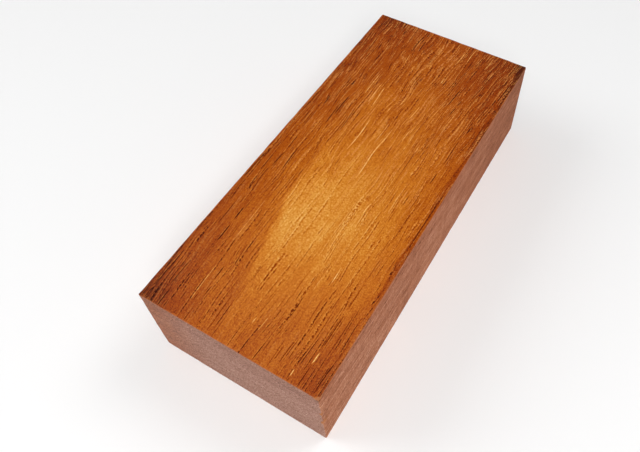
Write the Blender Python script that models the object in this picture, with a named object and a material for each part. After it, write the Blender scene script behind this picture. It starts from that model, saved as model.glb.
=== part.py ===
"""A blank of merbau: one rectangular block of hardwood, sawn to size and planed on top.

Metres, +Z up. The grain runs along Y, from the near end at -Y to the far end at +Y. X runs
across the width, and the origin is the middle of the underside.
"""

import math

import bmesh
import bpy
from mathutils import Euler, Vector

# Driving dimensions
LENGTH = 0.150
WIDTH = 0.0645
THICKNESS = 0.036

# How far a sawn edge is rubbed back, and the steps that round it
ARRIS_WEAR = 0.0004
ARRIS_STEPS = 2

# The two lower corners that were knocked, by the signs of X and Y, and how far each is worn back
KNOCKED_CORNERS = (((-1, -1), 0.0022), ((1, 1), 0.0017))
# A run-out facet leans towards one edge: its share of the corner's wear there, and its reach
RUN_OUT_WEAR = 0.75
RUN_OUT_LEAN = 0.35

# Splinters lost from the near right arris, each a long scoop with the grain:
# how far down from the top, then its length along Y, its width along X and its height
SPLINTERS = (
    ("corner_splinter", 0.0006, (0.0032, 0.0044, 0.0017)),
    ("upper_pit", 0.0061, (0.0012, 0.0011, 0.0010)),
    ("middle_splinter", 0.0125, (0.0030, 0.0012, 0.0018)),
    ("lower_splinter", 0.0205, (0.0040, 0.0014, 0.0032)),
)
SPLINTER_TURN = math.radians(9)

RAW_WOOD, OILED_WOOD = 0, 1


def clear_scene():
    """Removes every object that the file starts with."""
    for old in list(bpy.data.objects):
        bpy.data.objects.remove(old, do_unlink=True)


def wood_material(name, color, roughness):
    """One finish of the wood: its colour as linear RGB, and how dull it is."""
    material = bpy.data.materials.new(name)
    material.use_nodes = True
    shader = material.node_tree.nodes["Principled BSDF"]
    shader.inputs["Base Color"].default_value = (*color, 1.0)
    shader.inputs["Roughness"].default_value = roughness
    shader.inputs["Metallic"].default_value = 0.0
    material.diffuse_color = (*color, 1.0)
    return material


def sawn_block(mesh):
    """The block as sawn: a box that stands on Z = 0, with all its edges rubbed back."""
    bmesh.ops.create_cube(mesh, size=1.0)
    bmesh.ops.scale(mesh, vec=(WIDTH, LENGTH, THICKNESS), verts=mesh.verts)
    bmesh.ops.translate(mesh, vec=(0.0, 0.0, THICKNESS / 2), verts=mesh.verts)
    bmesh.ops.bevel(
        mesh,
        geom=mesh.edges[:],
        offset=ARRIS_WEAR,
        segments=ARRIS_STEPS,
        profile=0.5,
        affect="EDGES",
    )


def slice_off(mesh, point, normal):
    """Cuts away what lies past a plane and closes the cut with one flat face."""
    everything = mesh.verts[:] + mesh.edges[:] + mesh.faces[:]
    cut = bmesh.ops.bisect_plane(
        mesh, geom=everything, plane_co=point, plane_no=normal, clear_outer=True
    )
    rim = [part for part in cut["geom_cut"] if isinstance(part, bmesh.types.BMEdge)]
    bmesh.ops.contextual_create(mesh, geom=rim)


def knock_corner(mesh, signs, wear):
    """Wears a lower corner round: a facet across it, then one that runs out along each edge."""
    outward = Vector((signs[0], signs[1], -1.0))
    corner = Vector((signs[0] * WIDTH / 2, signs[1] * LENGTH / 2, 0.0))
    slice_off(mesh, corner - Vector((outward.x * wear, 0.0, 0.0)), outward.normalized())
    for axis in range(3):
        lean = outward.copy()
        lean[axis] *= RUN_OUT_LEAN
        start = corner.copy()
        crossing = (axis + 1) % 3
        start[crossing] -= outward[crossing] * wear * RUN_OUT_WEAR
        slice_off(mesh, start, lean.normalized())


def finish_faces(mesh):
    """Gives the planed top its oiled finish. Every other face is raw from the saw."""
    for face in mesh.faces:
        planed = face.normal.z > 0.9 and face.calc_center_median().z > THICKNESS - ARRIS_WEAR
        face.material_index = OILED_WOOD if planed else RAW_WOOD


def splinter_scoop(name, drop, size, scoops):
    """A long rounded cutter on the near right arris, which lifts one splinter out of it."""
    mesh = bmesh.new()
    bmesh.ops.create_icosphere(mesh, subdivisions=2, radius=0.5)
    length, width, height = size
    bmesh.ops.scale(mesh, vec=(width, length, height), verts=mesh.verts)
    turn = Euler((0.0, 0.0, SPLINTER_TURN)).to_matrix()
    bmesh.ops.rotate(mesh, matrix=turn, verts=mesh.verts)
    place = (WIDTH / 2, -LENGTH / 2, THICKNESS - drop)
    bmesh.ops.translate(mesh, vec=place, verts=mesh.verts)
    data = bpy.data.meshes.new(name)
    mesh.to_mesh(data)
    mesh.free()
    scoop = bpy.data.objects.new(name, data)
    scoop.hide_render = True
    scoop.display_type = "WIRE"
    scoops.objects.link(scoop)


def build_blank():
    """The whole blank: sawn, knocked at two corners, and splintered along one arris."""
    mesh = bmesh.new()
    sawn_block(mesh)
    for signs, wear in KNOCKED_CORNERS:
        knock_corner(mesh, signs, wear)
    bmesh.ops.recalc_face_normals(mesh, faces=mesh.faces)
    finish_faces(mesh)
    data = bpy.data.meshes.new("merbau_blank")
    mesh.to_mesh(data)
    mesh.free()
    data.materials.append(wood_material("raw merbau", (0.352, 0.156, 0.107), 0.75))
    data.materials.append(wood_material("oiled merbau", (0.480, 0.135, 0.022), 0.42))

    blank = bpy.data.objects.new("merbau_blank", data)
    bpy.context.scene.collection.objects.link(blank)

    scoops = bpy.data.collections.new("splinters")
    bpy.context.scene.collection.children.link(scoops)
    for name, drop, size in SPLINTERS:
        splinter_scoop(name, drop, size, scoops)
    lift = blank.modifiers.new("lift splinters", "BOOLEAN")
    lift.operation = "DIFFERENCE"
    lift.solver = "EXACT"
    lift.operand_type = "COLLECTION"
    lift.collection = scoops
    return blank


clear_scene()
build_blank()
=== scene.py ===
import math

import bpy
import numpy as np
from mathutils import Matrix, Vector


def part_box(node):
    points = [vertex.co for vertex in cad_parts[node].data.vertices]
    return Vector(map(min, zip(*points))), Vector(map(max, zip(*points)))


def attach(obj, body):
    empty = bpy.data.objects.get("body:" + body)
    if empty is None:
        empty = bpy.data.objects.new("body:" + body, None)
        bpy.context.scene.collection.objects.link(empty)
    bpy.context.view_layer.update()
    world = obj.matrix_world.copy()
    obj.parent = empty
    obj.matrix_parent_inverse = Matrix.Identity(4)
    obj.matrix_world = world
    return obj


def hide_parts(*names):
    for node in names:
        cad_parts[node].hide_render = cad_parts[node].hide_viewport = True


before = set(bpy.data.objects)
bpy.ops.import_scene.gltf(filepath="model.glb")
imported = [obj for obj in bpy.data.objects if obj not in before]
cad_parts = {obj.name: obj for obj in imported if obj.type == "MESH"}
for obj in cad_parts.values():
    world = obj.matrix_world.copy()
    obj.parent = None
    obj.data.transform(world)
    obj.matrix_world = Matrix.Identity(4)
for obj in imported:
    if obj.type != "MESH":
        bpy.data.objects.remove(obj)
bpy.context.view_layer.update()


# The camera
# It stands close over the near right corner of the blank and looks down along it, so the far end
# runs small. The shift sets the blank where the photograph's frame has it.

CAMERA_PLACE = (0.07536, -0.11891, 0.21501)
CAMERA_AZIMUTH = math.radians(29.75)
CAMERA_ELEVATION = math.radians(52.91)
FOCAL_LENGTH, FRAME_WIDTH = 36.994, 36.0
CAMERA_SHIFT = (-0.0875, -0.075)
NEAREST_SEEN = 0.005

lens = bpy.data.cameras.new("camera")
lens.sensor_width = FRAME_WIDTH
lens.lens = FOCAL_LENGTH
lens.shift_x, lens.shift_y = CAMERA_SHIFT
lens.clip_start = NEAREST_SEEN
camera = bpy.data.objects.new("camera", lens)
bpy.context.scene.collection.objects.link(camera)
camera.location = CAMERA_PLACE
camera.rotation_euler = (math.pi / 2 - CAMERA_ELEVATION, 0.0, CAMERA_AZIMUTH)
bpy.context.scene.camera = camera


# The blank
# One sawn block of merbau, its top planed and oiled, its sides, ends and underside raw. The skin
# is a lattice wrapped round the block, with three lines to each lane of open pores, so that the
# pores are real grooves. They and the figure follow the run of the grain.

MM = 0.001
LOW, HIGH = (np.array(corner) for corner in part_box("merbau_blank"))

# How far an arris is rubbed back, the least of it, and the lattice lines over it in shares of it
ARRIS_WEAR, LEAST_WEAR = 0.0004, 0.0002
ARRIS_STEPS = (0.0, 0.33, 0.67, 1.0, 1.5, 2.4)
# The knocked lower corners, by the signs of X and Y, each with its wear, and how far it reaches
KNOCKED_CORNERS = (((-1, -1), 0.0008), ((1, 1), 0.0006))
KNOCK_REACH = 0.0032

# The lattice: lanes of pores across the width and through the thickness, and stations along. A
# lane lies off its even place by up to the jitter, a share of the lanes' spacing.
LANES_ACROSS, LANES_THROUGH, STATIONS_ALONG = 74, 12, 100
LANE_JITTER = 0.12
PORE_WIDTH, PORE_DEPTH = 0.00032, 0.00012
# The chance pores of each face: their mean length, the mean gap and the boldest of them
TOP_PORES = (0.0050, 0.032, 0.5)
UNDERSIDE_PORES = (0.0075, 0.020, 1.0)
SIDE_PORES = (0.0045, 0.018, 0.8)
# How pale the rim beside a dark mark is for the mark's depth, a painted highlight on its lit
# side, and the shortest mark, in millimetres
RIM_HIGHLIGHT = 0.16
SHORTEST_MARK = 1.6

# The grain: how far in from a side it bends freely, its sway in millimetres and the rings' tilt
BEND_MARGIN = 0.018
SWAY, CLIMBING_SWAY = 0.22, 0.10
RING_TILT = math.radians(35)
# How far it leans out sideways in each millimetre: the whole left side and more over its near
# part, the near part of the middle, and the whole right side and more over its far part. A bend
# is the place along where such a part ends or starts, and the length over which it does.
LEFT_LEAN, LEFT_NEAR_LEAN, LEFT_BEND = 0.035, 0.055, (26.0, 6.0)
MIDDLE_LEAN, MIDDLE_BEND = 0.060, (30.0, 6.0)
RIGHT_LEAN, RIGHT_FAR_LEAN, RIGHT_BEND = 0.010, 0.075, (95.0, 12.0)

# The three finishes of its faces
OILED, RAW, END = 0, 1, 2

# Splinters lost from the near right arris: how far below the top, how far each reaches across the
# end and along the side, and half its height
SPLINTERS = (
    (0.0006, 0.0022, 0.0016, 0.00085),
    (0.0061, 0.0006, 0.0006, 0.0005),
    (0.0125, 0.0007, 0.0015, 0.0009),
    (0.0205, 0.0008, 0.0020, 0.0016),
)
# How much has to be cut away for the wood to look fully torn
TORN_DEPTH = 0.00015

# The top's own marks, in millimetres from its near left corner: where each starts and ends along
# the length, how far across it lies, its width and its depth of colour. Below 0 it is pale.
MARKS = (
    (4.9, 19.6, 1.7, 0.45, 0.9), (2, 4.2, 4.1, 0.4, 0.6), (0, 6.5, 7.1, 0.5, 0.8),
    (7.1, 16.7, 6.1, 0.4, 0.75), (26.6, 33.9, 8.8, 0.6, 1.0), (36.4, 41.8, 8.8, 0.55, 1.0),
    (31.3, 43.4, 4.6, 0.4, 0.6), (49.5, 54.5, 4.4, 0.4, 0.7), (42.8, 45, 6.5, 0.4, 0.5),
    (30.3, 36, 11.3, 0.3, 0.45), (6.3, 9.6, 15.4, 0.35, 0.5), (14.5, 18.1, 14.1, 0.35, 0.5),
    (10.2, 12.6, 17.5, 0.45, 0.85), (15.9, 20.8, 16.8, 0.5, 0.9), (21.2, 29.3, 16.5, 0.3, 0.4),
    (22.6, 28.3, 18.9, 0.45, 0.8), (28.7, 32.3, 19.1, 0.35, 0.6), (11.4, 14.7, 19.3, 0.35, 0.5),
    (0, 15.1, 24.8, 0.6, 0.4), (2.8, 12, 26.4, 0.35, 0.65), (20.2, 27.7, 26.4, 0.35, 0.5),
    (18.1, 20.8, 28.2, 0.35, 0.5), (26.3, 28.5, 29.0, 0.35, 0.5), (18.1, 20.8, 29.7, 0.35, 0.5),
    (23.8, 25.7, 30.2, 0.35, 0.5), (1.8, 16.1, 32.5, 0.3, 0.3), (1.4, 10, 34.6, 0.35, 0.45),
    (17.1, 23.2, 35.3, 0.35, 0.5), (0, 6.9, 42.1, 0.6, 0.45), (13.1, 15.3, 41.9, 0.4, 0.45),
    (15.1, 22.2, 44.2, 0.3, 0.4), (0, 11, 46.2, 0.4, 0.4), (2.9, 8.4, 47.6, 0.5, 0.5),
    (2.9, 11.4, 49.0, 0.5, 0.45), (12, 14.5, 50.6, 0.4, 0.4), (0, 4.5, 54.0, 0.5, 0.5),
    (5.3, 11, 54.1, 0.4, 0.5), (0, 8, 56.9, 0.6, 0.4), (12.5, 25.3, 57.2, 0.6, 0.5),
    (26.3, 36.4, 57.4, 0.6, 0.45), (11, 28.3, 59.7, 0.45, 0.35), (0, 11, 62.8, 0.6, 0.4),
    (13.1, 27.3, 62.8, 0.4, 0.5), (51.5, 65.5, 1.3, 0.6, 0.5), (56.5, 65.9, 4.0, 0.4, 0.7),
    (52.5, 59.5, 6.2, 0.35, 0.7), (60.1, 67.5, 6.4, 0.45, 0.85), (68.5, 76.5, 6.7, 0.4, 0.6),
    (61.5, 71.5, 10.3, 0.5, 0.8), (53.5, 68.5, 12.7, 0.4, 0.4), (68.1, 71.5, 3.3, 0.4, 0.6),
    (78.5, 91.4, 5.5, 0.35, 0.6), (71.5, 87.4, 14.7, 0.35, 0.6), (85.4, 98.3, 11.4, 0.45, 0.8),
    (91.4, 102.7, 12.5, 0.6, 1.0), (84.5, 98.3, 17.8, 0.35, 0.7), (94.4, 99.3, 6.1, 0.45, 0.8),
    (55.5, 71.5, 23.5, 0.3, 0.4), (71.1, 75.5, 25.8, 0.4, 0.6), (79.5, 91.4, 46.6, 0.35, 0.6),
    (96.4, 99.3, 47.9, 0.5, 0.85), (80.5, 85.5, 57.4, 0.45, 1.0), (89.4, 103.3, 57.9, 0.4, 0.7),
    (67.5, 73.5, 53.3, 0.35, 0.5), (51.5, 59.5, 52.9, 0.3, 0.4), (51.5, 76.5, 63.0, 0.6, 0.45),
    (94.4, 101.3, 51.6, 0.4, 0.55), (107.2, 111.1, 10.4, 0.5, 0.85),
    (112.1, 116.5, 10.3, 0.45, 0.65), (124.9, 137.6, 5.8, 0.4, 0.55), (128.8, 134.1, 8.7, 0.4, 0.6),
    (142.8, 145, 13.2, 0.6, 1.0), (109.2, 118.4, 17.8, 0.35, 0.5), (134.7, 145.4, 21.1, 0.4, 0.8),
    (137.2, 143.4, 23.8, 0.5, 0.9), (118, 126.9, 31.2, 0.4, 0.6), (125.9, 130.8, 33.3, 0.4, 0.6),
    (111.6, 113.9, 36.2, 0.4, 0.7), (103.9, 106.6, 36.2, 0.4, 0.5), (122.3, 124.9, 38.5, 0.4, 0.6),
    (123.3, 126.9, 40.5, 0.35, 0.5), (115.7, 126.3, 47.4, 0.45, 1.0),
    (111.8, 117.1, 49.6, 0.45, 0.9), (118, 120.4, 49.9, 0.45, 0.9), (111.2, 117.1, 52.8, 0.35, 0.5),
    (107.8, 110, 58.7, 0.6, 0.8), (125.9, 128.8, 44.2, 0.4, 0.5), (8.4, 11.8, 57.4, 0.45, -0.8),
    (32.4, 37.4, 48.7, 0.4, -1.0), (9.8, 11, 35.2, 0.4, -0.7), (36.4, 38.6, 27.2, 0.35, -0.6),
    (1.6, 3.1, 53.5, 0.4, -0.8), (8, 14.1, 38.5, 0.35, -0.4), (28.3, 48.5, 12.8, 0.3, -0.4),
    (5.9, 20.2, 14.5, 0.35, -0.4), (39.4, 53.5, 41.4, 0.3, -0.4), (58.5, 62.9, 43.7, 0.45, -0.7),
    (27.3, 33.4, 45.0, 0.3, -0.4), (54.5, 66.5, 28.2, 0.35, -0.35), (68.5, 97.3, 34.0, 0.5, -0.65),
    (78.5, 96.4, 25.9, 0.45, -0.7), (86.5, 98.3, 32.6, 0.35, -0.5), (63.5, 73.5, 50.8, 0.35, -0.45),
    (92, 98.7, 39.9, 0.35, -0.5), (55.5, 72.5, 24.2, 0.4, -0.4), (105.2, 119, 16.4, 0.4, -0.5),
    (102.3, 114.1, 20.2, 0.45, -0.6), (101.3, 113.1, 22.7, 0.45, -0.6),
    (101.9, 106.2, 28.2, 0.4, -0.5), (107.2, 112.1, 31.9, 0.4, -0.45),
    (102.3, 111.2, 37.8, 0.4, -0.45), (137.6, 145.4, 40.7, 0.5, -0.5),
    (140.5, 148.3, 42.8, 0.4, -0.5), (124.9, 128.2, 39.1, 0.5, -0.5),
    (127.8, 134.7, 21.7, 0.4, -0.35), (139.5, 148.3, 51.1, 0.4, -0.35),
    (102.3, 119, 44.7, 0.3, -0.35), (102.3, 119, 51.4, 0.35, -0.35), (89.4, 93.4, 46.3, 0.4, -0.45),
    (11, 21.2, 63.6, 0.3, 0.3), (0, 4.9, 21.6, 0.35, 0.4), (16.1, 21.2, 21.6, 0.3, 0.35),
    (27.3, 34.4, 21.3, 0.35, 0.4), (36.4, 47.5, 21.7, 0.3, 0.3), (39.4, 51.5, 19.3, 0.3, 0.35),
    (36.4, 43.4, 16.1, 0.35, 0.4), (45.4, 63.5, 14.9, 0.35, 0.45), (25.2, 31.3, 18.0, 0.3, 0.45),
    (22.2, 25.2, 11.4, 0.35, 0.4), (46.5, 50.5, 11.2, 0.35, 0.4), (52.5, 61.5, 11.3, 0.3, 0.4),
    (4.9, 7.9, 11.9, 0.4, 0.5), (0, 2.8, 17.5, 0.4, 0.5), (6.5, 8.6, 19.7, 0.4, 0.5),
    (0, 3.8, 2.5, 0.4, 0.6), (19.7, 23.6, 2.4, 0.35, 0.5), (11, 14, 0.9, 0.4, 0.5),
    (57.5, 60.5, 16.6, 0.35, 0.5), (61.5, 64.9, 16.5, 0.35, 0.6), (64.5, 68.5, 20.3, 0.4, 0.55),
    (53.5, 57.5, 16.7, 0.3, 0.3), (29.3, 40.4, 25.9, 0.3, 0.3), (39.4, 53.5, 27.6, 0.3, 0.3),
    (24.2, 28.3, 35.9, 0.3, 0.35), (34.4, 41.4, 36.4, 0.3, 0.35), (14.1, 20.2, 37.9, 0.3, 0.35),
    (22.2, 34.4, 40.3, 0.35, 0.4), (34.4, 51.5, 43.3, 0.3, 0.4), (3.9, 9, 43.3, 0.35, 0.45),
    (10, 12.4, 44.0, 0.4, 0.45), (13.1, 31.3, 49.2, 0.3, 0.35), (13.1, 24.3, 54.1, 0.35, 0.45),
    (32.4, 37.4, 54.2, 0.35, 0.5), (38.4, 51.5, 54.3, 0.3, 0.3), (37.4, 47.5, 57.3, 0.4, 0.5),
    (52.5, 67.5, 57.3, 0.35, 0.5), (67.5, 80.5, 56.9, 0.3, 0.4), (0, 3.3, 58.8, 0.4, 0.5),
    (61.5, 69.5, 46.0, 0.3, 0.35), (71.5, 81.5, 46.6, 0.35, 0.45), (85.5, 97.4, 52.7, 0.35, 0.45),
    (75.5, 85.5, 56.4, 0.3, 0.3), (89.4, 98.3, 20.3, 0.3, 0.4), (101.3, 107.2, 4.3, 0.35, 0.4),
    (111.1, 117, 11.8, 0.4, 0.5), (105.2, 109.2, 27.7, 0.3, 0.3), (113.1, 119, 29.0, 0.35, 0.35),
    (119, 122, 11.9, 0.35, 0.4), (122.9, 127.8, 11.5, 0.4, 0.45), (125.9, 131.7, 10.8, 0.35, 0.35),
    (114.1, 117.1, 44.5, 0.3, 0.4), (130.8, 134.7, 44.6, 0.4, 0.4),
    (122.9, 129.8, 55.8, 0.45, 0.45), (118, 122.9, 53.5, 0.35, 0.4),
    (134.7, 137.6, 53.9, 0.4, 0.45), (139.5, 143.4, 26.7, 0.4, 0.5),
    (136.6, 141.5, 28.3, 0.35, 0.45), (126.9, 129.8, 24.7, 0.35, 0.4),
    (139.5, 142.5, 47.3, 0.35, 0.4), (145.4, 149.3, 23.2, 0.4, 0.5),
)

# One set of dice for all that is left to chance, so the wood comes out the same each time
dice = np.random.default_rng(41)


def soft_step(value):
    """Rises smoothly from 0 to 1 around 0: the logistic curve 1 / (1 + e^-v)."""
    return 1.0 / (1.0 + np.exp(-value))


def soft_ramp(value):
    """The running total of soft_step: near 0 below 0 and near v above it, as log(1 + e^v)."""
    return np.logaddexp(0.0, value)


def swell(points, spans, waves=14):
    """A smooth random field of unit spread: a sum of plane waves with random phases, whose
    frequency along each axis is drawn from a bell curve one over that axis's span wide."""
    turns = dice.normal(size=(waves, 3)) / np.array(spans)
    phases = dice.uniform(0.0, 2 * math.pi, waves)
    return np.sin(2 * math.pi * points @ turns.T + phases).sum(axis=1) * math.sqrt(2 / waves)


def short_of(along, bend):
    """The length along as far as the bend: its place less a soft ramp of what is left to it."""
    place, reach = bend
    return place - reach * soft_ramp((place - along) / reach)


def beyond(along, bend):
    """The length past the bend: a soft ramp that starts at its place."""
    place, reach = bend
    return reach * soft_ramp((along - place) / reach)


def fan(across, along):
    """How far the grain has spread sideways, in millimetres: for the left, the middle and the
    right, each lean times the length that it holds for, within its own share of the width."""
    left = LEFT_LEAN * along + LEFT_NEAR_LEAN * short_of(along, LEFT_BEND)
    middle = MIDDLE_LEAN * short_of(along, MIDDLE_BEND)
    right = RIGHT_LEAN * along + RIGHT_FAR_LEAN * beyond(along, RIGHT_BEND)
    spread = left * soft_step(-(across + 6.0) / 8.0) - right * soft_step((across - 4.0) / 7.0)
    return spread - middle * np.exp(-(((across - 4.0) / 9.0) ** 2))


def climb(along):
    """How far the grain has climbed, in millimetres: a parabola, steeper to the far end."""
    return 0.012 * along + 0.0000933 * along**2


def edge_lines(low, high, inner):
    """Lattice lines from low to high: close together on both arrises, with the inner ones
    between them."""
    steps = ARRIS_WEAR * np.array(ARRIS_STEPS)
    return np.concatenate([low + steps, np.sort(inner), high - steps[::-1]])


def lane_lines(low, high, lanes, extra=()):
    """Lattice lines with three for each pore lane, at its middle and half a pore either side,
    and any extra ones that stay clear of these. The second result numbers the middles."""
    room = ARRIS_WEAR * ARRIS_STEPS[-1] + PORE_WIDTH
    middles = np.linspace(low + room, high - room, lanes)
    middles[1:-1] += dice.uniform(-LANE_JITTER, LANE_JITTER, lanes - 2) * (middles[1] - middles[0])
    inner = (middles[:, None] + PORE_WIDTH / 2 * np.array([-1.0, 0.0, 1.0])).ravel()
    extra = np.array(extra, dtype=float)
    clear = np.abs(extra[:, None] - inner).min(axis=1, initial=1.0) > PORE_WIDTH / 2
    lines = edge_lines(low, high, np.concatenate([inner, extra[clear]]))
    return lines, np.searchsorted(lines, middles - MM / 1000)


def bumps(stations, middles, halves):
    """Flat-topped bumps from 0 to 1, each 1 - (distance / half)^4."""
    return np.clip(1.0 - (np.abs(stations - middles) / halves) ** 4, 0.0, 1.0)


def pore_dashes(lanes, stations, mean_length, mean_gap, boldest):
    """How open each lane's pores are at each station: dashes of random length, gap and
    boldness, one after another."""
    count = 14  # dashes to a lane, more than its length has room for
    lengths = mean_length * dice.lognormal(-0.15, 0.55, (lanes, count))
    gaps = mean_gap * dice.exponential(1.0, (lanes, count))
    ends = np.cumsum(lengths + gaps, axis=1) + stations[0]
    ends -= mean_gap * dice.uniform(0, 2, (lanes, 1))
    boldness = boldest * dice.uniform(0.25, 1.0, (lanes, count, 1)) ** 1.6
    dashes = bumps(stations, (ends - lengths / 2)[:, :, None], lengths[:, :, None] / 2)
    return (boldness * dashes).max(axis=1)


# Lattice lines across each side splinter, from its lower rim to its upper one
chip_steps = np.array([-1.0, -0.5, 0.0, 0.5, 1.0])
chip_lines = [HIGH[2] - drop + half * chip_steps for drop, _, _, half in SPLINTERS[1:]]
xs, x_lanes = lane_lines(LOW[0], HIGH[0], LANES_ACROSS)
zs, z_lanes = lane_lines(LOW[2], HIGH[2], LANES_THROUGH, np.concatenate(chip_lines))
room = ARRIS_WEAR * (ARRIS_STEPS[-1] + 1.5)
ys = edge_lines(LOW[1], HIGH[1], np.linspace(LOW[1] + room, HIGH[1] - room, STATIONS_ALONG))

# The points of the lattice that lie on the block's skin, numbered, and the sheet of each face
skin = np.zeros((len(xs), len(ys), len(zs)), bool)
skin[[0, -1]] = skin[:, [0, -1]] = skin[:, :, [0, -1]] = True
at_x, at_y, at_z = np.nonzero(skin)
numbers = np.full(skin.shape, -1)
numbers[skin] = np.arange(len(at_x))
top, under, left, right = numbers[:, :, -1], numbers[:, :, 0], numbers[0].T, numbers[-1].T

# The lanes bend with the grain, and less so close to the sides
lattice = np.stack([xs[at_x], ys[at_y], zs[at_z]], axis=1)
millimetres = (lattice - [0.0, LOW[1], 0.0]) / MM
sway = SWAY * swell(millimetres, (9.0, 34.0, 9.0))
side_room = np.minimum(lattice[:, 0] - LOW[0], HIGH[0] - lattice[:, 0])
bend = fan(millimetres[:, 0], millimetres[:, 1]) + sway
lattice[:, 0] -= bend * MM * np.clip(side_room / BEND_MARGIN, 0, 1)

# How open the pores are: 0 between them, 1 where they are deepest
pore = np.zeros(len(at_x))
pore[under[x_lanes]] = pore_dashes(LANES_ACROSS, ys, *UNDERSIDE_PORES)
for side in (left, right):
    pore[side[z_lanes]] = pore_dashes(LANES_THROUGH, ys, *SIDE_PORES)

# On the top each mark takes the nearest lane, widens it and leaves a faint pale rim on its left,
# a painted highlight on the groove's lit side
stations = (ys - LOW[1]) / MM
lane_places = (lattice[top[x_lanes], 0] - LOW[0]) / MM
strengths = pore_dashes(LANES_ACROSS, ys, *TOP_PORES)
widths = np.full(strengths.shape, PORE_WIDTH / MM)
for start, end, across, width, strength in MARKS:
    middle = (start + end) / 2
    station = np.abs(stations - middle).argmin()
    lane = np.abs(lane_places[:, station] - across).argmin()
    shape = bumps(stations, middle, max(end - start, SHORTEST_MARK) / 2)
    shape[station] = 1.0
    strengths[lane] = np.where(shape > 0, strength * shape, strengths[lane])
    widths[lane] = np.where(shape > 0, width, widths[lane])
pore[top[x_lanes]] = strengths
pore[top[x_lanes - 1]] = -RIM_HIGHLIGHT * np.clip(strengths, 0, 1)
for side in (-1, 1):
    lattice[top[x_lanes + side], 0] = lattice[top[x_lanes], 0] + side * widths / 2 * MM

# Every point sinks to its distance from a core that is smaller by the local wear: this rounds
# the arrises and corners, and sinks the pores into the faces
wear = ARRIS_WEAR * (0.85 + 0.15 * swell(millimetres, (9.0, 9.0, 9.0)))
for signs, depth in KNOCKED_CORNERS:
    corner = np.array([signs[0] * HIGH[0], signs[1] * HIGH[1], LOW[2]])
    distance = np.linalg.norm(lattice - corner, axis=1)
    wear = wear + (depth - ARRIS_WEAR) * np.exp(-((distance / KNOCK_REACH) ** 2))
wear = np.clip(wear, LEAST_WEAR, None)
core = np.clip(lattice, LOW + wear[:, None], HIGH - wear[:, None])
outward = (lattice - core) / np.linalg.norm(lattice - core, axis=1)[:, None]
points = core + outward * (wear - PORE_DEPTH * np.clip(pore, 0, 1))[:, None]

# Each splinter shaves the corner down to a slanting flat: its level goes from -1 to 1 over its
# height, and its ragged size there is that of a circle, 1 at the middle and 0 at the rims
torn = np.zeros(len(points))
for drop, across_end, along_side, half in SPLINTERS:
    ragged = 1.0 + 0.12 * swell(millimetres, (0.9, 0.9, 0.9))
    level = (points[:, 2] - HIGH[2] + drop) / half
    size = ragged * np.sqrt(np.clip(1.0 - level**2, 1e-6, None))
    depth = (HIGH[0] - points[:, 0]) / across_end + (points[:, 1] - LOW[1]) / along_side
    lean = np.array([-1.0 / across_end, 1.0 / along_side, 0.0])
    shave = np.clip(size - depth, 0.0, None) / (lean @ lean)
    points += shave[:, None] * lean
    torn = np.maximum(torn, np.clip(shave * np.linalg.norm(lean) / TORN_DEPTH, 0.0, 1.0))

# Rubbed wood lies within a little more than the wear of an arris, and comes and goes along it.
# Its paler colour is partly rubbed wood and partly a painted highlight on the arris
to_faces = np.minimum(lattice - LOW, HIGH - lattice)
to_arris = np.sort(to_faces, axis=1)[:, 1]
rubbed = np.clip((1.3 * wear + LEAST_WEAR - to_arris) / ARRIS_WEAR, 0.0, 1.0)
rubbed *= np.clip(0.6 + 0.35 * swell(millimetres, (5.0, 5.0, 5.0)), 0.0, 1.0)

# The grain's own space, in millimetres: across the rings, along them and along the fibres
millimetres = (points - [0.0, LOW[1], 0.0]) / MM
across = millimetres[:, 0] + fan(millimetres[:, 0], millimetres[:, 1]) + sway
through = millimetres[:, 2] + climb(millimetres[:, 1])
through = through + CLIMBING_SWAY * swell(millimetres, (11.0, 38.0, 11.0))
grain = np.stack(
    [
        across * math.cos(RING_TILT) + through * math.sin(RING_TILT),
        through * math.cos(RING_TILT) - across * math.sin(RING_TILT),
        millimetres[:, 1],
    ],
    axis=1,
)


def quads(sheet):
    """Joins a sheet of point numbers into quads, each point with its next neighbours."""
    corners = [sheet[:-1, :-1], sheet[1:, :-1], sheet[1:, 1:], sheet[:-1, 1:]]
    return np.stack(corners, axis=-1).reshape(-1, 4)


sheets = (
    (quads(top), OILED),
    (quads(under.T), RAW),
    (quads(right.T), RAW),
    (quads(left), RAW),
    (quads(numbers[:, 0]), END),
    (quads(numbers[:, -1].T), END),
)
faces = np.concatenate([sheet for sheet, _ in sheets])
finishes = np.concatenate([np.full(len(sheet), finish) for sheet, finish in sheets])

mesh = bpy.data.meshes.new("merbau_block")
mesh.from_pydata(points, [], faces.tolist())
mesh.polygons.foreach_set("material_index", finishes)
mesh.attributes.new("grain", "FLOAT_VECTOR", "POINT").data.foreach_set("vector", grain.ravel())
for name, values in (("open_pore", pore), ("torn", torn), ("rubbed", rubbed)):
    mesh.attributes.new(name, "FLOAT", "POINT").data.foreach_set("value", values)
mesh.shade_smooth()
block = bpy.data.objects.new("merbau_block", mesh)
bpy.context.scene.collection.objects.link(block)


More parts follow.
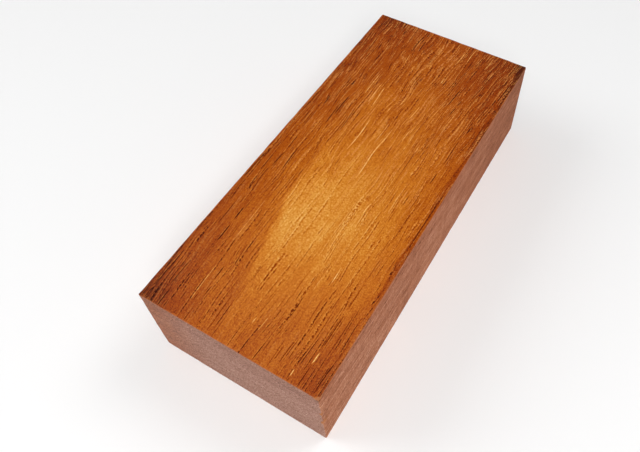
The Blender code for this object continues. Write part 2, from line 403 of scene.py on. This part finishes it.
class Signal:
    """One output of a material's nodes. Sums, differences, products and quotients of it add
    Math nodes."""

    def __init__(self, tree, socket=None):
        self.tree = tree
        self.socket = socket

    def node(self, kind, settings=None, inputs=None, output=0):
        """Adds a node: first its settings, then the values or links of its sockets."""
        made = self.tree.nodes.new(kind)
        for name, value in (settings or {}).items():
            if name == "stops":
                ramp = made.color_ramp
                while len(ramp.elements) < len(value):
                    ramp.elements.new(0.5)
                for element, (place, color) in zip(ramp.elements, value, strict=True):
                    element.position = place
                    element.color = (*color, 1.0)
            else:
                setattr(made, name, value)
        for name, value in (inputs or {}).items():
            if isinstance(value, Signal):
                self.tree.links.new(value.socket, made.inputs[name])
            else:
                made.inputs[name].default_value = value
        return Signal(self.tree, made.outputs[output] if made.outputs else None)

    def output(self, name):
        """Another output of the same node."""
        return Signal(self.tree, self.socket.node.outputs[name])

    def maths(self, operation, *values):
        """One Math node on signals or numbers."""
        return self.node("ShaderNodeMath", {"operation": operation}, dict(enumerate(values)))

    def __add__(self, other):
        return self.maths("ADD", self, other)

    def __sub__(self, other):
        return self.maths("SUBTRACT", self, other)

    def __rsub__(self, other):
        return self.maths("SUBTRACT", other, self)

    def __mul__(self, other):
        return self.maths("MULTIPLY", self, other)

    def __truediv__(self, other):
        return self.maths("DIVIDE", self, other)

    __radd__, __rmul__ = __add__, __mul__

    def above(self, floor):
        """The signal, or the floor where that is higher."""
        return self.maths("MAXIMUM", self, floor)

    def bell(self):
        """The bell curve of the signal v: e to the power of minus v times v."""
        return self.maths("EXPONENT", self * self * -1.0)

    def step(self, low, high, start=0.0, end=1.0):
        """Goes smoothly from start to end while the signal goes from low to high."""
        values = {"Value": self, "From Min": low, "From Max": high, "To Min": start, "To Max": end}
        return self.node("ShaderNodeMapRange", {"interpolation_type": "SMOOTHSTEP"}, values)


def vector_maths(operation, first, second):
    """Adds or multiplies two vectors part by part."""
    return first.node("ShaderNodeVectorMath", {"operation": operation}, {0: first, 1: second})


def noise(vector, spans, detail=2.0, roughness=0.5):
    """Cloudy noise from -0.5 to 0.5, whose patches are about as long as the spans."""
    scaled = vector_maths("MULTIPLY", vector, tuple(1.0 / span for span in spans))
    inputs = {"Vector": scaled, "Scale": 1.0, "Detail": detail, "Roughness": roughness}
    return vector.node("ShaderNodeTexNoise", None, inputs) - 0.5


def parts(vector):
    """The three parts of a vector, each a signal."""
    split = vector.node("ShaderNodeSeparateXYZ", None, {0: vector})
    return split, split.output("Y"), split.output("Z")


def blend(factor, first, second):
    """The first colour where the factor is 0 and the second where it is 1."""
    second = second if isinstance(second, Signal) else (*second, 1.0)
    inputs = {0: factor, 6: first, 7: second}
    return factor.node("ShaderNodeMix", {"data_type": "RGBA"}, inputs, output=2)


# How far the pale rim, a painted highlight, lies beside its dark line, across and through, in
# widths of the line
RIM_SHIFT = (0.62, -0.42)


def scratches(space, width, reach, bead, thin):
    """Long thin lines along the grain, where a stretched noise passes a threshold, broken into
    beads. Gives the dark lines, the pale lines of the noise's other tail, and the pale rims that
    lie on the left of the dark ones, a painted highlight on their lit side. The thinner they are,
    the fewer."""
    strands = noise(space, (width, width, reach), detail=0.5)
    shift = (RIM_SHIFT[0] * width, RIM_SHIFT[1] * width, 0.0)
    shifted = vector_maths("ADD", space, shift)
    beside = noise(shifted, (width, width, reach), detail=0.5)
    beads = noise(space, (0.4, 0.4, bead), detail=0.5)
    dark = (strands - thin).step(0.0, 0.04) * beads.step(-0.06, 0.06, 0.10, 1.0)
    pale = (strands + thin + 0.01).step(0.0, -0.03) * beads.step(0.08, -0.06, 0.10, 1.0)
    return dark, pale, (beside - thin).step(0.0, 0.04) * beads.step(0.08, -0.04, 0.10, 1.0)


def start_material(name):
    """An empty material: its object coordinates, the grain's own space and its wear, whose rubbed
    arrises also carry a painted highlight.
    """
    material = bpy.data.materials.new(name)
    material.use_nodes = True
    material.node_tree.nodes.clear()
    place = Signal(material.node_tree).node("ShaderNodeTexCoord", output="Object")
    space = place.node("ShaderNodeAttribute", {"attribute_name": "grain"}, output="Vector")
    wear_and_light = [
        place.node("ShaderNodeAttribute", {"attribute_name": attribute}, output="Fac")
        for attribute in ("open_pore", "torn", "rubbed")
    ]
    return material, place, space, *wear_and_light


def close_material(place, color, roughness, height, relief, shine):
    """Joins the colour, the roughness, the height of its relief in metres, and the shine's
    strength and colour to the material's shader."""
    bump = place.node(
        "ShaderNodeBump", None, {"Height": height, "Distance": relief, "Strength": 1.0}
    )
    inputs = {
        "Base Color": color,
        "Roughness": roughness,
        "Normal": bump,
        "Specular IOR Level": shine[0],
        "Specular Tint": (*shine[1], 1.0),
    }
    shader = place.node("ShaderNodeBsdfPrincipled", None, inputs)
    place.node("ShaderNodeOutputMaterial", None, {"Surface": shader})


def toned(tone, stops):
    """The colour of a tone. Each stop is a tone and its colour, from the darkest to the palest,
    and a tone between two stops gets their colours in proportion."""
    darkest = stops[0][0]
    spread = stops[-1][0] - darkest
    ramp = [((place - darkest) / spread, color) for place, color in stops]
    inputs = {0: (tone - darkest) / spread}
    return tone.node("ShaderNodeValToRGB", {"stops": ramp}, inputs, output="Color")


# The oiled top: from dark gum to pale gold, in linear colour
OILED_STOPS = (
    (-0.40, (0.040, 0.007, 0.004)),
    (-0.10, (0.112, 0.014, 0.002)),
    (0.15, (0.268, 0.037, 0.002)),
    (0.40, (0.388, 0.081, 0.005)),
    (0.63, (0.515, 0.140, 0.010)),
    (0.85, (0.622, 0.218, 0.022)),
    (1.00, (0.705, 0.305, 0.050)),
    (1.30, (0.850, 0.520, 0.150)),
)
# Its warm middle, partly the wood's own warmth and partly a painted pool of light that leaves
# the far end and the sides darker: how much paler it is, its place along and across, and its reach
# along, to the left and to the right, in millimetres
WARM_AND_LIT_TONE = 0.71
WARM_AND_LIT_PLACE, WARM_AND_LIT_REACH, WARM_AND_LIT_LEFT, WARM_AND_LIT_RIGHT = (61.0, 30.0), 89.0, 33.0, 80.0
# Its golden patch: the same, and the left edge, which leans left from its place at 20 mm along
# and runs no further left than the last value
GOLD_TONE = 0.30
GOLD_PLACE, GOLD_REACH = (47.0, 26.0), (27.0, 30.0)
GOLD_EDGE, GOLD_EDGE_LEAN, GOLD_EDGE_LEAST = 24.4, 0.16, 17.6
# The darker band along the right arris: how much darker it is, its reach, and how much darker
# still its last two millimetres are, past the near end
RIGHT_BAND_TONE, RIGHT_BAND_REACH, STRIP_TONE = 0.13, 7.0, 0.20
# Smaller lighter or darker blushes, the last two of them painted shade at the far end's corners:
# place along and across, reach along and across, and tone
BLUSHES_AND_FAR_SHADE = (
    (82.0, 13.2, 8.0, 1.6, 0.12),
    (128.0, 54.0, 17.0, 8.0, -0.12),
    (140.0, 36.0, 16.0, 9.0, 0.09),
    (2.0, 3.0, 14.0, 9.0, -0.19),
    (68.0, 27.5, 3.5, 2.5, -0.10),
    # Painted shade: the far end's corners fall darker
    (151.0, 52.0, 8.0, 14.0, -0.14),
    (151.0, 10.0, 5.0, 7.0, -0.11),
)
# How much each pattern changes the tone: the clouds, the streaks and the mottle, then the fibres
# and each kind of fine line at the near and at the far end. The oil darkens all of it a little.
CLOUDS, STREAKS, MOTTLE = 0.36, 0.18, 0.20
FIBRES, OIL_TONE = (1.25, 1.05), 0.035
LINE_DEPTHS, SPECK_DEPTHS = (0.64, 0.38), (0.20, 0.38)
# The rims' tones are a painted highlight
RIM_TONES, GLINT_SHARES = (0.18, 0.30), (0.16, 0.34)
# The colours of its pale tissue, of the painted sheen toward its near end, of its pale marks and
# torn wood, and of its rubbed arrises, which carry a painted highlight
TISSUE_GOLD = (0.820, 0.375, 0.085)
FAR_TISSUE = (0.690, 0.275, 0.070)
NEAR_SHEEN = (0.750, 0.600, 0.500)
MINERAL_YELLOW = (0.920, 0.640, 0.240)
TORN_WOOD = (0.420, 0.165, 0.065)
RUBBED_ARRIS_HIGHLIGHT = (0.520, 0.190, 0.060)
# Its two sets of lines: their width, their reach along the grain and that of their beads
BOLD_LINES, FINE_LINES = (0.44, 40.0, 0.6), (0.36, 30.0, 0.8)
# How far the relief of each finish goes in and out, in metres
OILED_RELIEF, RAW_RELIEF = 0.00004, 0.00008
# How strongly each finish shines, and the colour of the shine
OILED_SHINE, RAW_SHINE = (0.14, (1.0, 0.38, 0.06)), (0.04, (1.0, 0.8, 0.65))


def oiled_merbau():
    """The planed and oiled top. Its tone is the sum of its warm middle, its golden patch, its
    blushes, figure and fibres, less its dark lines and marks. The warm middle is partly the wood's
    own warmth and partly a painted pool of light, and two of the blushes are painted shade at the
    far end's corners. The tone gives the colour, and the pale threads, a painted sheen toward the
    near end, the worn wood of the arrises with its painted highlight and the torn wood are blended
    over it."""
    material, place, space, opened, torn, rubbed = start_material("oiled merbau")
    x, y, _ = parts(place)
    along = (y - LOW[1]) / MM
    across = (x - LOW[0]) / MM
    to_right = (HIGH[0] - LOW[0]) / MM - across
    far = along.step(15.0, 95.0, 0.25, 1.0)

    clouds = noise(space, (6.0, 4.0, 20.0), detail=2.0)
    crowd = noise(space, (2.2, 2.2, 9.0), detail=1.0)
    lines, glints, rim_highlights = scratches(space, *BOLD_LINES, 0.130 - 0.08 * crowd)
    specks, pale_threads, _ = scratches(space, *FINE_LINES, 0.118 - 0.07 * crowd)
    streaks = noise(space, (0.55, 0.55, 14.0), detail=2.0)
    fibres = noise(space, (0.46, 0.46, 0.50), detail=2.0, roughness=0.8)
    mottle = noise(space, (1.0, 1.0, 3.0), detail=2.0, roughness=0.65)
    ragged = noise(space, (0.50, 0.50, 0.65), detail=1.5)
    ribbons = noise(space, (0.65, 0.65, 7.0), detail=1.0)

    # The warm middle with its painted pool of light, the golden patch with its clear left edge, the
    # darker band along the right and the blushes, some of them painted shade
    from_warm_and_lit = across - WARM_AND_LIT_PLACE[1]
    lean = (from_warm_and_lit * -1.0).above(0.0) / WARM_AND_LIT_LEFT + from_warm_and_lit.above(0.0) / WARM_AND_LIT_RIGHT
    # Painted light: the warm middle's bell is also the pool of light, paler in the middle and
    # darker toward the far end and the sides
    warm_and_lit = ((along - WARM_AND_LIT_PLACE[0]) / WARM_AND_LIT_REACH).bell() * lean.bell()
    boundary = (GOLD_EDGE - GOLD_EDGE_LEAN * (along - 20.0)).above(GOLD_EDGE_LEAST)
    inside = (across - boundary + 4.0 * clouds + 3.0 * streaks).step(-0.6, 0.6)
    gold = ((along - GOLD_PLACE[0]) / GOLD_REACH[0]).bell() * inside
    gold = gold * ((across - GOLD_PLACE[1]) / GOLD_REACH[1]).bell()
    tone = WARM_AND_LIT_TONE * warm_and_lit + GOLD_TONE * gold - RIGHT_BAND_TONE * (to_right / RIGHT_BAND_REACH).bell()
    strip = (to_right + 4.0 * clouds).step(2.2, 1.5) * along.step(20.0, 45.0)
    tone = tone - STRIP_TONE * strip
    for middle, shore, reach, spread, shift in BLUSHES_AND_FAR_SHADE:
        bell = ((along - middle) / reach).bell() * ((across - shore + 6.0 * clouds) / spread).bell()
        tone = tone + shift * bell

    # The figure and the fibres, then the fine dark lines with their rims' painted highlight, and
    # the larger marks
    tone = tone + CLOUDS * clouds + STREAKS * streaks + MOTTLE * mottle
    tone = tone + along.step(60.0, 120.0, *FIBRES) * fibres - OIL_TONE
    tone = tone - lines * far.step(0.25, 1.0, *LINE_DEPTHS) * (1.0 - 0.25 * gold)
    tone = tone + rim_highlights * far.step(0.25, 1.0, *RIM_TONES) * (1.0 - lines)
    tone = tone - specks * far.step(0.2, 1.0, *SPECK_DEPTHS) * (1.0 - 0.5 * gold)
    mark = (opened * (1.0 + 1.4 * ragged)).step(0.07, 0.34)
    tone = tone - mark * (0.22 + 0.85 * opened)
    color = toned(tone, OILED_STOPS)

    # Over the colour, wherever no dark line lies: ribbons and threads of pale tissue, joined by the
    # painted highlights of the rims, and a faint painted sheen toward the near end
    clear = (1.0 - lines) * (1.0 - mark)
    wide = ribbons.step(0.08, 0.20) * clear * along.step(75.0, 120.0)
    color = blend(wide * 0.15, color, FAR_TISSUE)
    color = blend(pale_threads.above(rim_highlights * 0.6) * clear * far * 0.60, color, FAR_TISSUE)
    color = blend(glints * clear * far.step(0.2, 1.0, *GLINT_SHARES), color, TISSUE_GOLD)
    # Painted sheen: a faint whitish haze toward the near end, the sky's reflection put in the
    # colour
    color = blend(along.step(70.0, 5.0) * clear * 0.016, color, NEAR_SHEEN)

    # The pale marks, ragged and yellow at their hearts, then the rubbed arrises, partly rubbed wood
    # and partly a painted highlight, and the torn wood
    light = opened * (-1.0 - 3.2 * ragged)
    color = blend(light.step(0.04, 0.35) * 0.90, color, TISSUE_GOLD)
    color = blend(light.step(0.35, 0.85), color, MINERAL_YELLOW)
    color = blend(rubbed * ragged.step(-0.2, 0.2) * 0.35, color, RUBBED_ARRIS_HIGHLIGHT)
    color = blend(torn, color, TORN_WOOD)

    rough = 0.46 + 0.15 * fibres + 0.3 * lines + 0.3 * torn
    height = 0.18 * fibres - 0.7 * lines - 0.4 * specks
    close_material(place, color, rough, height, OILED_RELIEF, OILED_SHINE)
    return material


# The raw faces: from dark to light, for the sawn sides and for the pinker end grain
SAWN_STOPS = (
    (-0.40, (0.075, 0.028, 0.018)),
    (0.00, (0.200, 0.068, 0.036)),
    (0.50, (0.372, 0.140, 0.072)),
    (1.00, (0.550, 0.262, 0.160)),
    (1.30, (0.680, 0.400, 0.270)),
)
END_STOPS = (
    (-0.40, (0.075, 0.036, 0.028)),
    (0.00, (0.170, 0.084, 0.064)),
    (0.50, (0.305, 0.160, 0.118)),
    (1.00, (0.450, 0.265, 0.205)),
    (1.30, (0.580, 0.380, 0.300)),
)
OIL_STAIN = (0.350, 0.110, 0.038)
RAW_PORE = (0.100, 0.042, 0.028)
RAW_LINES = (0.55, 8.0, 1.2)
# How far the oil soaked below the top, in millimetres
OIL_SOAK = 0.5
# The lines of the saw's teeth run up the sides and across the ends: their spans on X, Y and Z
SIDE_KERFS = (0.0200, 0.0012, 0.0200)
END_KERFS = (0.0200, 0.0200, 0.0012)


def raw_merbau(name, stops, kerfs):
    """Wood as the saw left it. Its tone is darker to the far end, a painted shade, and paler to the
    foot, and the sum of clouds, rings, the fine lines of the teeth, streaks, fuzz and pale tissue,
    less its pores. The oil of the top has soaked a little way over its arris, and its rubbed arris
    is paler, partly rubbed wood and partly a painted highlight."""
    material, place, space, opened, torn, rubbed = start_material(name)
    x, y, z = parts(place)
    along = (y - LOW[1]) / MM
    across = (x - LOW[0]) / MM
    down = (HIGH[2] - z) / MM

    clouds = noise(space, (5.0, 4.0, 22.0), detail=2.0)
    pores, tissue, _ = scratches(space, *RAW_LINES, 0.10 - 0.10 * clouds)
    streaks = noise(space, (0.65, 0.65, 8.0), detail=2.0)
    fuzz = noise(place, (0.00075, 0.00075, 0.00100), detail=2.0, roughness=0.7)
    teeth = noise(place, kerfs, detail=1.0)
    rings = noise(space, (24.0, 1.6, 60.0), detail=2.0)

    # The near half is the crisper one
    near = along.step(100.0, 30.0, 1.0, 1.5)
    # Painted shade: the far part is darker, as though the lamps reached it less
    tone = 0.50 - 0.24 * along.step(70.0, 150.0) + 0.6 * clouds
    tone = tone + 0.35 * teeth + 0.30 * rings + 0.12 * down.step(2.0, 14.0)
    tone = tone + near * (0.6 * streaks + 0.8 * fuzz + 0.24 * tissue - 0.42 * pores)
    color = toned(tone, stops)
    color = blend(opened.step(0.06, 0.5) * 0.7, color, RAW_PORE)
    # The near end is browner at its left, and the oil's edge is ragged
    browner = across.step(24.0, 1.0) * along.step(3.0, 1.0) * (0.65 + 0.8 * clouds)
    color = blend(browner, color, toned(tone - 0.28, SAWN_STOPS))
    below = down + 2.5 * OIL_SOAK * streaks + 1.5 * OIL_SOAK * fuzz
    color = blend(below.step(1.2 * OIL_SOAK, 0.3 * OIL_SOAK) * 0.75, color, OIL_STAIN)
    # The rubbed arris is paler: partly rubbed wood, partly a painted highlight
    color = blend(rubbed * 0.15, color, stops[3][1])
    color = blend(torn, color, TORN_WOOD)

    rough = 0.85 + 0.2 * fuzz
    height = 0.6 * fuzz + 0.3 * teeth - 0.8 * pores
    close_material(place, color, rough, height, RAW_RELIEF, RAW_SHINE)
    return material


mesh.materials.append(oiled_merbau())
mesh.materials.append(raw_merbau("raw merbau", SAWN_STOPS, SIDE_KERFS))
mesh.materials.append(raw_merbau("end merbau", END_STOPS, END_KERFS))
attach(block, "root")
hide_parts("merbau_blank")


# The studio
# A plain pale floor under soft lamps: one large one over the camera, and two weaker ones that
# keep the hidden sides clear. The sky is nearly white low down and darker overhead.

# Half the floor's width, and how far it lies below the blank
FLOOR_HALF, FLOOR_DROP = 0.8, 0.00005
# The sky's brightness low down and overhead, and between which heights it changes
SKY_LOW, SKY_HIGH = 0.95, 0.18
SKY_FADE = (0.05, 0.6)
PAPER_WHITE, PAPER_ROUGHNESS = (0.94, 0.94, 0.94, 1.0), 0.9
# Each lamp's place, its width in metres and its power in watts
LAMPS = (
    ("key lamp", (0.33, -0.55, 0.75), 0.5, 5.6),
    ("left lamp", (-0.95, -0.35, 0.80), 0.8, 5.0),
    ("back lamp", (0.45, 0.75, 1.20), 0.8, 5.0),
)

bpy.context.scene.view_settings.view_transform = "Standard"
world = bpy.data.worlds.new("studio")
world.use_nodes = True
sky = world.node_tree.nodes["Background"]
direction = Signal(world.node_tree).node("ShaderNodeTexCoord", output="Generated")
brightness = parts(direction)[2].step(*SKY_FADE, SKY_LOW, SKY_HIGH)
world.node_tree.links.new(brightness.socket, sky.inputs["Strength"])
sky.inputs["Color"].default_value = (1.0, 1.0, 1.0, 1.0)
bpy.context.scene.world = world

floor_mesh = bpy.data.meshes.new("floor")
floor_corners = [
    (x * FLOOR_HALF, y * FLOOR_HALF, -FLOOR_DROP) for x, y in ((-1, -1), (1, -1), (1, 1), (-1, 1))
]
floor_mesh.from_pydata(floor_corners, [], [(0, 1, 2, 3)])
floor = bpy.data.objects.new("floor", floor_mesh)
bpy.context.scene.collection.objects.link(floor)
paper = bpy.data.materials.new("pale paper")
paper.use_nodes = True
paper_shader = paper.node_tree.nodes["Principled BSDF"]
paper_shader.inputs["Base Color"].default_value = PAPER_WHITE
paper_shader.inputs["Roughness"].default_value = PAPER_ROUGHNESS
floor_mesh.materials.append(paper)

for name, place, size, power in LAMPS:
    lamp = bpy.data.lights.new(name, "AREA")
    lamp.shape = "DISK"
    lamp.size = size
    lamp.energy = power
    lamp_object = bpy.data.objects.new(name, lamp)
    lamp_object.location = place
    lamp_object.rotation_euler = Vector(place).to_track_quat("Z", "Y").to_euler()
    bpy.context.scene.collection.objects.link(lamp_object)
